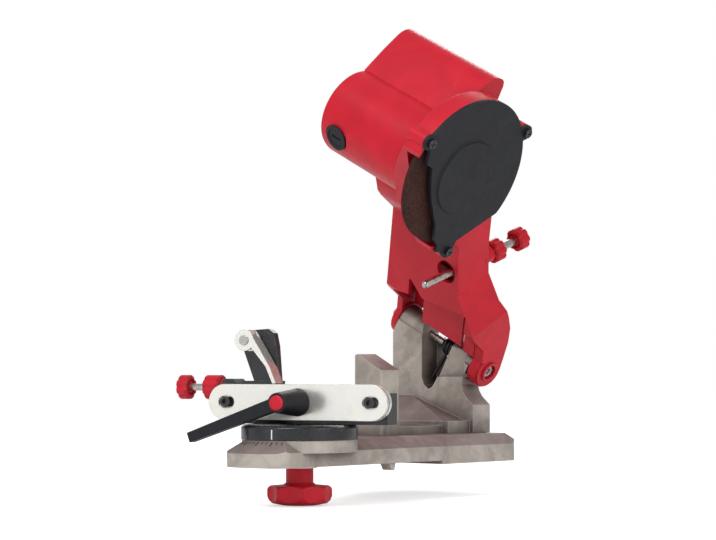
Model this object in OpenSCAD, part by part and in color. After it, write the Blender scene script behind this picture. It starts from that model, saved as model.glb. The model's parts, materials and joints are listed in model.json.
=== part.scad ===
// Electric chainsaw sharpener: tilting grinder head on a cast base with a turning chain vise.
// Millimetres. The origin is midway between the two bench bolts, on the bench plane under the rear pad.
// X points to the back of the machine and Z up. Lengths below are from the vise axis unless said otherwise.

/* [Grinding wheel] */
// Diameter of the grinding wheel
wheel_diameter = 105; // [100:1:108]
// Thickness of the grinding wheel
wheel_thickness = 3.2; // [3:0.1:4.5]
// Diameter of the wheel's bore
wheel_bore = 22.2; // [22.2:0.1:23]

/* [Head] */
// Lean of the head and its pivot from level
head_tilt = 28; // [28:1:28]
// Outside diameter of the motor housing
motor_diameter = 64; // [64:0.5:66]
// Wall of the plastic housings
housing_wall = 2.5; // [2:0.1:3]
// Gap between the wheel's rim and the outside of its guard
guard_clearance = 5; // [4.5:0.25:6]

/* [Arm] */
// Lean of the arm inside the swing plane
arm_lean = 24.8; // [24.8:0.1:24.8]
// Wall of the arm moulding
arm_wall = 3; // [2.5:0.1:3.5]
// Diameter of the pivot pin
pivot_diameter = 6; // [5:0.5:6]

/* [Depth stop] */
// Diameter of the depth screw
depth_screw_diameter = 6; // [5:0.5:7]
// Diameter of the red finger knobs
finger_knob_diameter = 17.5; // [15:0.5:18]

/* [Vise] */
// Turn of the vise away from square
vise_angle = 13; // [0:1:20]
// Length of the two chain plates
plate_length = 137.5; // [135:0.5:140]
// Height of the two chain plates
plate_height = 24.6; // [23:0.1:25.5]
// Thickness of each chain plate
plate_thickness = 2.8; // [2.5:0.1:3]
// Gap that the chain drops into
chain_gap = 1.9; // [1.6:0.1:2]
// Diameter of the turntable disc
turntable_diameter = 80; // [79:0.5:81]
// Reach of the clamp lever from its axis
lever_length = 73; // [60:1:75]

/* [Base] */
// Distance between the two bench bolts
bench_bolt_spacing = 73; // [70:1:76]
// Diameter of the bench bolt holes
bench_hole_diameter = 9; // [7:0.5:10]
// Diameter of the big clamp knob under the base
clamp_knob_diameter = 44.4; // [40:0.5:48]

/* [Hidden] */
$fn = 96;
fit = 0.05;
gap = 0.5;
red = [0.84, 0.15, 0.21];
black = [0.2, 0.2, 0.22];
cast = [0.72, 0.69, 0.65];
zinc = [0.85, 0.86, 0.86];
steel = [0.6, 0.6, 0.6];

// chain point: top of the chain plates on the vise axis
plate_top = 57.8;
plate_mid = plate_top - plate_height / 2;
chain_z = 57.6;

// pivot of the arm, at the level of the wheel's middle plane
pivot_x = 210;
pivot_lift = 9.7;
pivot_y = -pivot_lift * sin(head_tilt);
pivot_z = chain_z + pivot_lift * cos(head_tilt);

// spindle axis from the pivot, in the swing plane
wheel_x = -134;
wheel_z = 155.3;
motor_r = motor_diameter / 2;
wheel_r = wheel_diameter / 2;
flange_r = wheel_r + guard_clearance;
spindle_back = -wheel_x * cos(arm_lean) - wheel_z * sin(arm_lean);
spindle_up = -wheel_x * sin(arm_lean) + wheel_z * cos(arm_lean);

// the arm's two screws, set by the motor above them
arm_screw_x = 24.5 - spindle_back;
arm_screw_top = spindle_up - 21.2;
arm_screw_levels = [-84, -36];

// levels along the pivot axis, from the wheel's middle plane; the near side is positive
near_leg_out = 1;
near_leg_in = -8.5;
near_ear_out = -9;
near_ear_in = -32;
far_leg_in = -85.5;
far_leg_out = -91;
motor_far = -106;
part_level = -27.5;
rim_front = 5;
floor_front = -7;

// guard screw places round the spindle: [x, z]
function from_axis(direction, reach) = reach * [cos(direction), sin(direction)];
lug_a = from_axis(157, wheel_r + 3.2);
lug_b = from_axis(38, wheel_r + 8.8);
lug_c = from_axis(-75.3, wheel_r + 5.2);
lug_r = 5.5;
open_dir = 218.7;
open_reach = 36;
heel_dir = -54.3;
heel_reach = wheel_r - 2.3;

// base levels
disc_bottom = 20.3;
disc_top = 30.5;
nose_bottom = 2.5;
side_top = 12.5;
nose_r = 54;
plate_z = 20.3;
base_side = 27;
pad_front = 125;
bench_x = 140;
bench_y1 = -11;
bench_y2 = bench_y1 + bench_bolt_spacing;
bench_mid = (bench_y1 + bench_y2) / 2;

// depth stop levels
depth_u = 85;
depth_c = -27;
depth_tip = 50.2;
depth_boss = 18.6;
bush_diameter = 8.4;

// chain stop levels, in the vise's own frame
stop_x = 13;
stop_z = 55.4;
stop_lug = 63.2;
stop_end = 101.6;
pawl_pin_y = 42;
pawl_pin_z = 88;

// ---------- frames ----------

// the origin is midway between the two bench bolts
module seat() {
    translate([-bench_x, -bench_mid, 0]) children();
}

// head frame: x forward-back, y away along the pivot, z up in the swing plane
module head() {
    translate([pivot_x, pivot_y, pivot_z]) rotate([head_tilt, 0, 0]) children();
}

// section of the head seen from the near side: x, z of the head; height is the level
module head_section() {
    head() rotate([90, 0, 0]) children();
}

// the same, with the spindle at the origin
module spindle() {
    head_section() translate([wheel_x, wheel_z, 0]) children();
}

// section of the arm seen from the near side: x back, y along the arm, height is the level
module arm_section() {
    head() rotate([0, -arm_lean, 0]) rotate([90, 0, 0]) children();
}

// slab of a section between two levels
module levels(low, high) {
    translate([0, 0, low]) linear_extrude(high - low) children();
}

module vise() {
    rotate([0, 0, vise_angle]) children();
}

// shape drawn in the vise's y, z plane, swept from x0 to x1
module vise_slab(x0, x1) {
    vise() translate([x0, 0, 0]) rotate([90, 0, 90]) linear_extrude(x1 - x0) children();
}

// rod along the vise's x axis
module vise_rod(y, z, x0, x1, r) {
    vise() translate([x0, y, z]) rotate([0, 90, 0]) cylinder(r = r, h = x1 - x0);
}

// rod along the vise's y axis
module rail_rod(x, z, y0, y1, r) {
    vise() translate([x, y0, z]) rotate([-90, 0, 0]) cylinder(r = r, h = y1 - y0);
}

module rod_between(z0, z1, r) {
    translate([0, 0, z0]) cylinder(r = r, h = z1 - z0);
}

module ring(z0, z1, r_out, r_in) {
    difference() {
        rod_between(z0, z1, r_out);
        rod_between(z0 - 1, z1 + 1, r_in);
    }
}

// long round hole outline
module obround(length, height) {
    union() {
        square([length - height, height], center = true);
        for (s = [-1, 1]) translate([s * (length - height) / 2, 0]) circle(d = height);
    }
}

// round knob outline with finger hollows
module lobed(r, lobes) {
    difference() {
        circle(r = r);
        for (i = [0 : lobes - 1]) rotate(i * 360 / lobes) translate([r * 1.24, 0]) circle(r = r * 0.34);
    }
}

// finger knob along +z from 0, with soft edges and a ring-shaped recess in its first face
knob_lobes = 8;
module finger_knob(length, bore) {
    knob_r = finger_knob_diameter / 2;
    difference() {
        union() {
            translate([0, 0, 1.3]) linear_extrude(length - 2.6) lobed(knob_r, knob_lobes);
            translate([0, 0, 0.5]) linear_extrude(length - 1) lobed(knob_r - 0.5, knob_lobes);
            linear_extrude(length) lobed(knob_r - 1.3, knob_lobes);
        }
        translate([0, 0, -1]) cylinder(d = bore, h = length + 2);
        ring(-1, 1.2, knob_r - 3, bore / 2 + 1.2);
    }
}

// ---------- base ----------

module base_outline() {
    difference() {
        union() {
            difference() {
                intersection() {
                    circle(r = nose_r);
                    translate([-60, -base_side]) square([110, 2 * base_side]);
                }
                // round corners of the nose
                for (s = [-1, 1]) difference() {
                    polygon([[-39.2, s * 30], [-39.2, s * 15], [-52, s * 19.9], [-62, s * 30]]);
                    translate([-39.2, s * 15]) circle(r = 12);
                }
            }
            translate([20, -base_side]) square([60, 2 * base_side]);
            translate([70, -base_side]) square([138, 2 * base_side]);
            polygon([
                [70, 0], [70, base_side], [140, 84], [208, 84], [222, 70], [222, -13], [208, -base_side], [140, -base_side]
            ]);
            translate([208, -13]) circle(r = 14);
            translate([208, 70]) circle(r = 14);
        }
        translate([bench_x, bench_y1]) circle(d = bench_hole_diameter);
        translate([bench_x, bench_y2]) circle(d = bench_hole_diameter);
    }
}

// slope along one edge of the base, from its first point, in one direction
module edge_slope(x, y, direction, length) {
    translate([x, y, side_top]) rotate([0, 0, direction]) rotate([40.9, 0, 0])
        translate([0, -14, 0]) cube([length, 50, 20]);
}

module base_casting() {
    color(cast) seat()
    difference() {
        union() {
            difference() {
                translate([0, 0, nose_bottom]) linear_extrude(plate_z - nose_bottom) base_outline();
                // cone under the scale
                difference() {
                    translate([-70, -50, 8.2]) cube([70, 100, 20]);
                    translate([0, 0, 8.1]) cylinder(r1 = 60, r2 = 40, h = disc_bottom - 8.1 + 0.1);
                }
                edge_slope(-60, -base_side, 0, 290);
                edge_slope(222, -base_side, 90, 130);
                edge_slope(222, 84, 180, 82);
                edge_slope(140, 84, 180 + atan2(57, 70), 90.3);
                edge_slope(70, base_side, 180, 130);
            }
            // round seat under the turntable
            translate([0, 0, 12]) cylinder(d = turntable_diameter - 1, h = disc_bottom - 12);
            // rear pad on the bench
            linear_extrude(nose_bottom + 1) intersection() {
                base_outline();
                translate([pad_front, -60]) square([120, 160]);
            }
            // lug that hooks over the bench edge
            translate([64.5, 0, 0]) rotate([90, 0, 0]) translate([0, 0, base_side - 9]) linear_extrude(8)
                polygon([[0, 3], [3.5, -2.3], [6.5, -2.3], [8, 3]]);
        }
        // clearance for the turntable stud
        translate([0, 0, -5]) cylinder(d = 10.6, h = 40);
        // relief pockets under the nose and plate
        for (x = [-34, 24]) translate([x, -15, nose_bottom - 1]) cube([14, 30, 5]);
        for (x = [84, 106]) translate([x, -17, -1]) cube([16, 30, 6]);
        // holes for the column screws
        for (p = column_screw_places) {
            translate([p[0], p[1], -1]) cylinder(d = 6.4, h = 30);
            translate([p[0], p[1], -1]) cylinder(d = 11.6, h = 8);
        }
    }
}

column_screw_places = [[206, 12], [206, 64], [176, 38], [109, 20]];

module base_screws() {
    color(steel) seat()
    for (p = column_screw_places) translate([p[0], p[1], 2.4]) {
        difference() {
            cylinder(d = 10, h = 4.6);
            translate([0, 0, -1]) cylinder(d = 5, h = 3.5, $fn = 6);
        }
        translate([0, 0, 4.6]) cylinder(d = 6, h = 21);
    }
}

yoke_depth = 21;

// front view of the yoke: y, z
module yoke_outline() {
    polygon([
        [76, 20.3], [76, 98], [75, 120], [47.6, 120], [48.2, 62], [46.2, 56], [41.5, 52.6], [38, 54.5],
        [34.5, 59.5], [24.5, 80], [20, 88.5], [12, 91], [-15, 84], [2.4, 73.1], [8.8, 63.2], [10.6, 56.6],
        [9.2, 51.5], [6.6, 47.5], [-0.6, 41], [-0.6, 20.3]
    ]);
}

module column_casting() {
    color(cast) seat()
    difference() {
        union() {
            // yoke with two ears
            difference() {
                translate([197, 0, 0]) rotate([90, 0, 90]) linear_extrude(yoke_depth) yoke_outline();
                // ears are rounded over the pivot, the near one more
                head() difference() {
                    translate([-40, 45, 0]) cube([80, 70, 80]);
                    rotate([-90, 0, 0]) translate([0, 0, 30]) cylinder(r = 12.2, h = 100);
                }
                head() difference() {
                    translate([-40, -20, 0]) cube([80, 65, 80]);
                    translate([0, 0, -1.5]) rotate([-90, 0, 0]) translate([0, 0, -30]) cylinder(r = 10.6, h = 100);
                }
                // the far ear's inner face opens to the back
                translate([197, 48.2, 62]) rotate([0, 0, -81.5])
                    translate([-40, -0.01, 0]) mirror([0, 1, 0]) cube([80, 12, 70]);
                // outer faces of the ears are square to the pivot
                head() translate([-40, far_leg_in * -1 - 0.3, -14]) cube([80, 60, 90]);
                head() translate([-40, -near_ear_out - 60, -16]) cube([80, 60, 90]);
                // faces of the notch are square to the pivot
                head() translate([-40, -near_ear_in, 4.5]) cube([80, 8, 40]);
                head_section() rod_between(-46, near_ear_in, 7.5);
            }
            // thin web across the back of the yoke's throat
            translate([216, 0, 0]) rotate([90, 0, 90]) linear_extrude(2)
                polygon([[30, 58], [38, 50], [45, 50], [48.4, 60], [48.4, 92], [41, 92], [39.5, 77], [24.5, 77]]);
            // foot with a hip-shaped buttress
            translate([171, 3, plate_z]) cube([46, 74, 9.2]);
            hull() {
                translate([171, 8, 29]) cube([28, 69, 0.5]);
                translate([196.5, 57.3, 47.5]) cube([1.5, 18.5, 0.5]);
            }
            // low rib to the stop post
            translate([112, 9, plate_z]) cube([60, 20, 6]);
            // stop post
            translate([98, 7.5, plate_z]) cube([21, 24.5, 47]);
            translate([98, 0, 0]) rotate([90, 0, 90]) linear_extrude(21)
                polygon([[7.5, 60], [32, 60], [32, 78], [30, 78.9], [7.5, 67]]);
        }
        // bore for the pivot pin
        head_section() rod_between(-110, 20, pivot_diameter / 2 + fit);
        for (p = column_screw_places) translate([p[0], p[1], plate_z - 1]) cylinder(d = 6, h = 10);
        // soft edge on the post
        translate([98, 7.5, 0]) rotate([0, 0, 45]) cube([1.6, 1.6, 160], center = true);
        translate([119, 7.5, 0]) rotate([0, 0, 45]) cube([1.6, 1.6, 160], center = true);
    }
}

module pivot_pin() {
    color(steel) seat()
    head_section() difference() {
        union() {
            rod_between(-96.5, -2, pivot_diameter / 2);
            rod_between(-4.6, 0.6, 4.6);
        }
        translate([0, 0, -2]) cylinder(r = 2.6, h = 5, $fn = 6);
    }
}

module pivot_nut() {
    color(steel) seat()
    head_section() {
        ring(-92.6, far_leg_out - 0.1, 6.5, pivot_diameter / 2);
        difference() {
            translate([0, 0, -97.6]) cylinder(r = 5.7, h = 5.2, $fn = 6);
            rod_between(-100, -90, pivot_diameter / 2);
        }
    }
}

module spring_bush() {
    color(black) seat()
    head_section() ring(near_ear_in - 13.5, near_ear_in - gap,
        spring_r * cos(180 / coil_steps) - wire_r - 0.15, pivot_diameter / 2 + 0.02);
}

// torsion spring round the pin: one leg against the arm, one leg against the yoke
spring_r = 5.6;
wire_r = 1.25;
coil_pitch = 3;
coil_steps = 8;
coil_first = 24.8;
coil_last = -15;
coil_turns = 3 + (coil_first - coil_last) / 360;
coil_count = round(coil_turns * coil_steps);
coil_start = near_ear_in - 1.6;
function coil_point(i) = let (t = i / coil_count, a = coil_first - coil_turns * 360 * t)
    [spring_r * cos(a), spring_r * sin(a), coil_start - coil_pitch * coil_turns * t];
function along(p, a, d) = [p[0] + d * cos(a), p[1] + d * sin(a), p[2]];
function unit(v) = v / norm(v);
upper_leg = [for (d = [40 : -8 : 8]) along(coil_point(0), coil_first + 90, d)];
lower_leg = [for (d = [7 : 7 : 28]) along(coil_point(coil_count), coil_last - 90, d)];
wire_path = concat(upper_leg, [for (i = [0 : coil_count]) coil_point(i)], lower_leg);
wire_count = len(wire_path);
function tangent(i) = unit(wire_path[min(i + 1, wire_count - 1)] - wire_path[max(i - 1, 0)]);
function ring_points(i) = let (t = tangent(i), a = unit(cross(t, [0, 0, 1])), b = cross(t, a))
    [for (k = [0 : 5]) wire_path[i] + wire_r * (cos(k * 60) * a + sin(k * 60) * b)];
echo(spring_self_gap = coil_pitch - 2 * wire_r);

module torsion_spring() {
    points = [for (i = [0 : wire_count - 1]) each ring_points(i)];
    sides = [for (i = [0 : wire_count - 2]) for (k = [0 : 5])
        [i * 6 + k, i * 6 + (k + 1) % 6, (i + 1) * 6 + (k + 1) % 6, (i + 1) * 6 + k]];
    caps = [[for (k = [5 : -1 : 0]) k], [for (k = [0 : 5]) (wire_count - 1) * 6 + k]];
    color(black) seat()
    head_section() polyhedron(points, concat(sides, caps), convexity = 10);
}

// ---------- vise ----------

module turntable() {
    color(black) seat()
    difference() {
        union() {
            translate([0, 0, disc_bottom]) cylinder(d = turntable_diameter, h = 8.4);
            translate([0, 0, disc_bottom + 8.4])
                cylinder(d1 = turntable_diameter, d2 = turntable_diameter - 4, h = disc_top - disc_bottom - 8.4);
        }
        translate([0, 0, disc_bottom - 1]) cylinder(d = 10, h = 20);
        translate([0, 0, disc_bottom + 6]) cylinder(d = 19, h = 20);
        for (y = [-26, 26]) vise() translate([10, y, disc_bottom - 1]) {
            cylinder(d = 5.2, h = 20);
            cylinder(d = 9.4, h = 5);
        }
    }
}

module turntable_stud() {
    color(steel) seat()
    union() {
        rod_between(-21, 26.2, 5);
        translate([0, 0, 26.3]) cylinder(d = 18, h = 3.9, $fn = 6);
        rod_between(26, 26.4, 5);
    }
}

module turntable_washer() {
    color(zinc) seat() ring(0.9, nose_bottom - 0.05, 12, 5.1);
}

grip_r = clamp_knob_diameter / 2;
hollow_r = 24;
module turntable_knob() {
    color(red) seat()
    difference() {
        rotate_extrude() polygon([
            [0, -24.5], [12, -24.3], [grip_r - 3.4, -23], [grip_r - 1.2, -21], [grip_r, -18], [grip_r, -13.6],
            [grip_r - 0.6, -12.2], [grip_r - 2, -11.2], [11.4, -10.4], [9.45, -9], [9.45, 0.85], [0, 0.85]
        ]);
        // eight shallow hollows for the fingers
        for (i = [0 : 7]) rotate((i + 0.5) * 45) translate([grip_r * cos(22.5) - 0.6 + hollow_r, 0, 0])
            rod_between(-30, -8, hollow_r);
        rod_between(-21.2, 5, 5.05);
    }
}

// body behind the chain plates: y, z
module vise_body_outline() {
    polygon([
        [-65, disc_top], [64, disc_top], [64, 45], [stop_lug, 50], [stop_lug, 60.2], [61, 61.4], [54, 61.4],
        [51, 58.4], [50.5, 50], [-61, 50], [-63, 52], [-65, 52]
    ]);
}

body_front = chain_gap / 2 + plate_thickness;
body_back = 18;

module vise_body() {
    color(black) seat()
    difference() {
        vise_slab(body_front, body_back) vise_body_outline();
        rail_rod(stop_x, stop_z, 40, 80, 2.5 + fit);
        vise_rod(0, plate_mid, 0, 30, 3 + fit);
        vise_rod(0, plate_mid, body_back - 5, 30, 6.4);
        for (y = [-55.5, 55.5]) vise_rod(y, plate_mid, 0, 13, 2);
        for (y = [-26, 26]) vise() translate([10, y, disc_top - 1]) cylinder(d = 4, h = 14);
    }
}

module body_screws() {
    color(steel) seat()
    for (y = [-26, 26]) vise() translate([10, y, disc_bottom + 0.4]) {
        difference() {
            cylinder(d = 8.6, h = 3.6);
            translate([0, 0, -1]) cylinder(d = 4, h = 3, $fn = 6);
        }
        translate([0, 0, 3.6]) cylinder(d = 4, h = 16);
    }
}

module plate_outline() {
    difference() {
        translate([0.7, plate_mid]) obround(plate_length, plate_height);
        translate([0, plate_mid]) circle(d = 6.3);
    }
}

module rear_plate() {
    color(zinc) seat()
    vise_slab(chain_gap / 2, chain_gap / 2 + plate_thickness) difference() {
        plate_outline();
        for (y = [-55.5, 55.5]) translate([y, plate_mid]) circle(d = 4.1);
    }
}

module front_plate() {
    color(zinc) seat()
    vise_slab(-chain_gap / 2 - plate_thickness, -chain_gap / 2) difference() {
        plate_outline();
        for (y = [-55.5, 55.5]) translate([y, plate_mid]) obround(12.3, 8.2);
    }
}

// black shouldered screws that guide the front plate
module guide_screws() {
    color(black) seat()
    for (y = [-55.5, 55.5]) {
        vise_rod(y, plate_mid, chain_gap / 2, 12.5, 2);
        difference() {
            vise_rod(y, plate_mid, -6.2, chain_gap / 2, 3.6);
            vise() translate([-7, y, plate_mid]) rotate([0, 90, 0]) cylinder(d = 4.4, h = 3, $fn = 6);
        }
    }
}

module clamp_stud() {
    color(steel) seat()
    vise_rod(0, plate_mid, -28, 17.5, 3);
}

module clamp_nut() {
    color(steel) seat()
    vise() translate([body_back - 4.9, 0, plate_mid]) rotate([0, 90, 0]) difference() {
        cylinder(d = 11.4, h = 5, $fn = 6);
        translate([0, 0, -1]) cylinder(d = 6, h = 8);
    }
}

hub_back = -chain_gap / 2 - plate_thickness - 0.1;
module clamp_lever() {
    color(black) seat()
    difference() {
        union() {
            vise() translate([-33.5, 0, plate_mid]) rotate([0, 90, 0])
                cylinder(r1 = 6.8, r2 = 9.6, h = hub_back + 33.5);
            vise() translate([-33, 0, plate_mid]) rotate([-19.3, 0, 0]) rotate([90, 0, 90])
                linear_extrude(8) polygon([[0, -4.6], [lever_length, -3.5], [lever_length, 3.5], [0, 4.6]]);
        }
        vise_rod(0, plate_mid, -28.9, 10, 3 + fit);
        vise_rod(0, plate_mid, -35, -30.5, 5.3);
    }
}

module lever_cap() {
    color(red) seat()
    union() {
        vise_rod(0, plate_mid, -34.3, -30.5, 5.2);
        vise_rod(0, plate_mid, -35, -34.2, 4.4);
    }
}

// ---------- chain stop ----------

module stop_screw() {
    color(steel) seat()
    rail_rod(stop_x, stop_z, 30, stop_end - 0.6, 2.5);
}

module stop_knob() {
    color(red) seat()
    vise() translate([stop_x, stop_end - 8.3, stop_z]) rotate([-90, 0, 0]) difference() {
        finger_knob(8.3, 5 + 2 * fit);
        translate([0, 0, 7.1]) cylinder(d = 9.4, h = 4.5);
    }
}

module stop_lock_knob() {
    color(red) seat()
    vise() translate([stop_x, stop_lug + 0.3, stop_z]) rotate([-90, 0, 0]) union() {
        ring(0, 4.6, 5.8, 2.5 + fit);
        translate([0, 0, 4]) finger_knob(13, 5 + 2 * fit);
    }
}

module stop_carriage() {
    color(black) seat()
    difference() {
        union() {
            // block on the screw
            vise() translate([body_front + 0.4, 21, 50.3]) cube([body_back - body_front - 0.4, 27, 9.7]);
            // upright that carries the pawl
            vise_slab(8.6, 14.6) polygon([
                [21, 59], [40, 59], [49, 82], [49, 90], [45, 95], [29, 96], [25, 93], [23, 84]
            ]);
            vise_slab(6.2, 14.6) polygon([[23.5, 59], [39, 59], [41, 77], [34, 77], [28.5, 69]]);
        }
        rail_rod(stop_x, stop_z, 29.95, 80, 2.5);
        vise_rod(pawl_pin_y, pawl_pin_z, 0, 20, 2.5);
    }
}

// bent steel pawl: bright face and a flange towards the body
module pawl_face() {
    union() {
        translate([pawl_pin_y, pawl_pin_z]) circle(r = 7.4);
        polygon([
            [46, 94.2], [40.4, 96], [38.6, 95.2], [29.6, 81.4], [21.6, 69], [17.2, 58.4], [19.8, 58.2], [25.2, 70],
            [36.5, 83]
        ]);
    }
}

module pawl() {
    color(zinc) seat()
    difference() {
        union() {
            vise_slab(-3, -1.4) pawl_face();
            // flange along the working edge
            vise_slab(-3, 7.8) polygon([
                [40.6, 96.2], [38.6, 95.2], [29.2, 81], [21.4, 68.6], [17.2, 58.4], [19, 58.4], [23, 68.2],
                [30.7, 80.2], [40.2, 94.4]
            ]);
            vise_slab(6.2, 7.8) pawl_face();
        }
        vise_rod(pawl_pin_y, pawl_pin_z, -5, 20, 2.5 + fit);
    }
}

module pawl_pin() {
    color(steel) seat()
    union() {
        vise_rod(pawl_pin_y, pawl_pin_z, -3.2, 15.4, 2.5);
        vise_rod(pawl_pin_y, pawl_pin_z, -4.2, -3.1, 3.4);
    }
}

// ---------- arm ----------

// side view of the arm: x back, y along the arm
arm_front = -22;
arm_rear = 10;
module arm_side_outline(inset) {
    polygon([
        [arm_front + inset, 40], [arm_front + inset, 109], [-36 + inset, 125 + inset / 2],
        [-40 + inset, 131 + inset / 2], [-43 + inset, 143], [-43 + inset, 185], [-22, 185], [-22 + inset, 176 - inset],
        [-5 - inset / 2, 160 - inset], [arm_rear - inset, 130 - inset / 2], [arm_rear - inset, 58], [16 - inset, 43],
        [19 - inset, 32], [18.5 - inset, 19], [15 - inset, 6], [12 - inset, -4], [-4, 11], [-8.5 + inset, 11],
        [-8.5 + inset, 23], [-19.5 + inset, 36]
    ]);
}

// front view of the arm: level, along the arm
module arm_front_outline(near_inset, far_inset) {
    polygon([
        [far_leg_out + far_inset, -30], [far_leg_out + far_inset, 190], [-22.3 - near_inset, 190],
        [-21.6 - near_inset, 100], [-18 - near_inset, 70], [-17.5 - near_inset, 40], [-17.5 - near_inset, -30]
    ]);
}

// the depth screw's axis, pointing back
module depth_axis() {
    arm_section() translate([0, depth_u, depth_c]) rotate([0, 90, 0]) children();
}

// the front outline swept through the arm's depth
module across_arm() {
    head() rotate([0, -arm_lean, 0]) translate([-100, 0, 0]) rotate([90, 0, 90]) mirror([1, 0, 0])
        linear_extrude(200) children();
}

// shoulder where the near side spreads out to the near leg; moved inwards by an inset
module below_shoulder(inset) {
    arm_section() translate([10, 74, -17.5 - inset]) rotate(37.7, [-0.75, -0.1875, 0])
        translate([-150, -150, -300]) cube([300, 300, 300]);
}

module arm_body(inset, near_face) {
    intersection() {
        arm_section() levels(far_leg_out + inset, near_face) arm_side_outline(inset);
        union() {
            across_arm() arm_front_outline(inset, inset);
            below_shoulder(inset * 1.4);
        }
    }
}

module arm_housing() {
    color(red) seat()
    difference() {
        union() {
            difference() {
                arm_body(0, near_leg_out);
                // hollow of the arm
                arm_body(arm_wall, near_leg_in);
                // space for the yoke between the legs
                intersection() {
                    arm_section() levels(far_leg_in, near_leg_in) polygon([
                        [-60, -40], [-60, 60], [arm_front + arm_wall, 60], [arm_front + arm_wall, 50], [7, 50],
                        [11, 40], [15.8, 31], [15, 13.5], [40, 13.5], [40, -40]
                    ]);
                    across_arm() polygon([
                        [far_leg_in - 1, -50], [far_leg_in - 1, 37.5], [-55, 46.5], [-14, 54],
                        [near_leg_in + 1, 54], [near_leg_in + 1, -50]
                    ]);
                }
            }
            // lobes round the pivot
            arm_section() rod_between(near_leg_in, near_leg_out - 1.5, 13.4);
            arm_section() rod_between(near_leg_out - 1.51, near_leg_out, 12.4);
            arm_section() rod_between(near_leg_out - 0.1, near_leg_out + 1.4, 7.8);
            arm_section() rod_between(far_leg_out, far_leg_in, 13.6);
            // boss that holds the depth screw bush
            depth_axis() {
                translate([0, 0, arm_rear - 3]) cylinder(d = 15, h = 3);
                translate([0, 0, 3]) cylinder(d = 12, h = depth_boss - 3);
            }
            // inner wall over the pivot pin, slit beside the near leg
            intersection() {
                arm_section() translate([-9.2, 0, -100]) cube([2.4, 62, 110]);
                across_arm() union() {
                    polygon([[-63, 50], [-63, 15], [-21.3, 15], [-21.3, 56]]);
                    polygon([[-18.8, 60], [-18.8, 12.5], [-8, 12.5], [-8, 52]]);
                }
            }
            // shelf from the front's lower edge back to the inner wall
            intersection() {
                arm_section() translate([-21, 0, -100]) cube([14.2, 70, 100]);
                across_arm() polygon([[-60.5, 45.5], [-21.3, 52.7], [-21.3, 55.2], [-60.5, 48]]);
            }
            // back wall beside the far leg
            arm_section() translate([5.5, 13, -86]) cube([2.4, 49, 31]);
            // rib that the spring's upper leg leans on
            arm_section() translate([7.9, 16, -40]) cube([2.4, 46, 10]);
        }
        // seat under the motor and behind the wheel's guard
        spindle() flange_body(0.02);
        spindle() rod_between(-115, part_level + 1, motor_r + 0.02);
        // pivot bore and its recess
        arm_section() rod_between(-110, 20, pivot_diameter / 2 + fit);
        arm_section() rod_between(-4.6, 20, 5.6);
        // window for the depth screw
        arm_section() translate([-40, depth_u - 2.5, depth_c - 5]) rotate([0, 90, 0]) cylinder(r = 9, h = 22);
        // slanting notch in the front's lower edge
        intersection() {
            arm_section() translate([-40, 0, -100]) cube([22, 80, 100]);
            across_arm() polygon([[-68, 30], [-68, 57], [-66.5, 57], [-50, 44], [-50, 30]]);
        }
        // bush seat
        depth_axis() translate([0, 0, 3]) cylinder(d = bush_diameter, h = 30);
        // holes for the screws up into the motor housing
        arm_screw_places() rod_between(-46, 14, 2.1);
    }
}

// the screws' axes, from their tips
module arm_screw_places() {
    for (c = arm_screw_levels) arm_section() translate([arm_screw_x, arm_screw_top, c]) rotate([-90, 0, 0]) children();
}

module arm_screws() {
    color(steel) seat()
    arm_screw_places() {
        rod_between(-36, 0, 2);
        rod_between(-39.5, -35.9, 3.8);
    }
}

module depth_bush() {
    color([0.78, 0.66, 0.35]) seat()
    depth_axis() difference() {
        translate([0, 0, 3]) cylinder(d = bush_diameter, h = depth_boss - 3);
        translate([0, 0, -1]) cylinder(d = depth_screw_diameter + 2 * fit, h = 40);
    }
}

module depth_screw() {
    color(steel) seat()
    depth_axis() union() {
        translate([0, 0, -depth_tip + 1.5]) cylinder(d = depth_screw_diameter, h = depth_tip + 52);
        translate([0, 0, -depth_tip]) cylinder(d1 = depth_screw_diameter - 2, d2 = depth_screw_diameter, h = 1.5);
    }
}

module depth_knob() {
    color(red) seat()
    depth_axis() translate([0, 0, 44.5]) difference() {
        finger_knob(9.6, depth_screw_diameter + 2 * fit);
        translate([0, 0, 8.4]) cylinder(d = 9.4, h = 4.5);
    }
}

module depth_lock_knob() {
    color(red) seat()
    depth_axis() translate([0, 0, depth_boss + 0.3])
        finger_knob(10.2, depth_screw_diameter + 2 * fit);
}

// ---------- head ----------

// box over the motor, seen along the spindle from its axis; an inset gives its inner side
box_corners = [
    [-6.5, 26], [-6.5, 32.2], [4.5, 48.7], [12.6, 59.4], [14.7, 62], [17.2, 64.2], [20, 65.8], [23.2, 66.7],
    [28, 66.8], [30.9, 66.2], [33, 64.4], [34, 61.4], [34, 44], [33.2, 30], [14, 26], [6, 20]
];
box_middle = [16, 42];
module box_outline(inset) {
    polygon([for (p = box_corners) p + inset * unit(box_middle - p)]);
}

// everything nearer than the parting of the two mouldings
module near_zone() {
    spindle() translate([-120, 0, 0]) rotate([90, 0, 90]) linear_extrude(240) polygon([
        [-120, part_level], [31, part_level], [34, -30.5], [48, -34], [64, -41], [90, -41], [90, 60], [-120, 60]
    ]);
}

module motor_shell() {
    spindle() rotate_extrude() polygon([
        [0, motor_far], [motor_r - 3, motor_far], [motor_r - 0.8, motor_far + 0.9], [motor_r, motor_far + 3],
        [motor_r, part_level],
        [motor_r - housing_wall, part_level], [motor_r - housing_wall, motor_far + 4], [11.05, motor_far + 4],
        [11.05, motor_far + 3], [0, motor_far + 3]
    ]);
}

// the cord gland is in the rear of the box
gland_level = -92;
gland_y = 41;
module gland_place() {
    spindle() translate([33.8, gland_y, gland_level]) rotate([0, 90, 0]) children();
}

brush_level = -88.5;
brush_dir = 210;
module brush_place() {
    for (a = [brush_dir, brush_dir + 180]) spindle() translate([0, 0, brush_level]) rotate([0, 90, a]) children();
}

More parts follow.
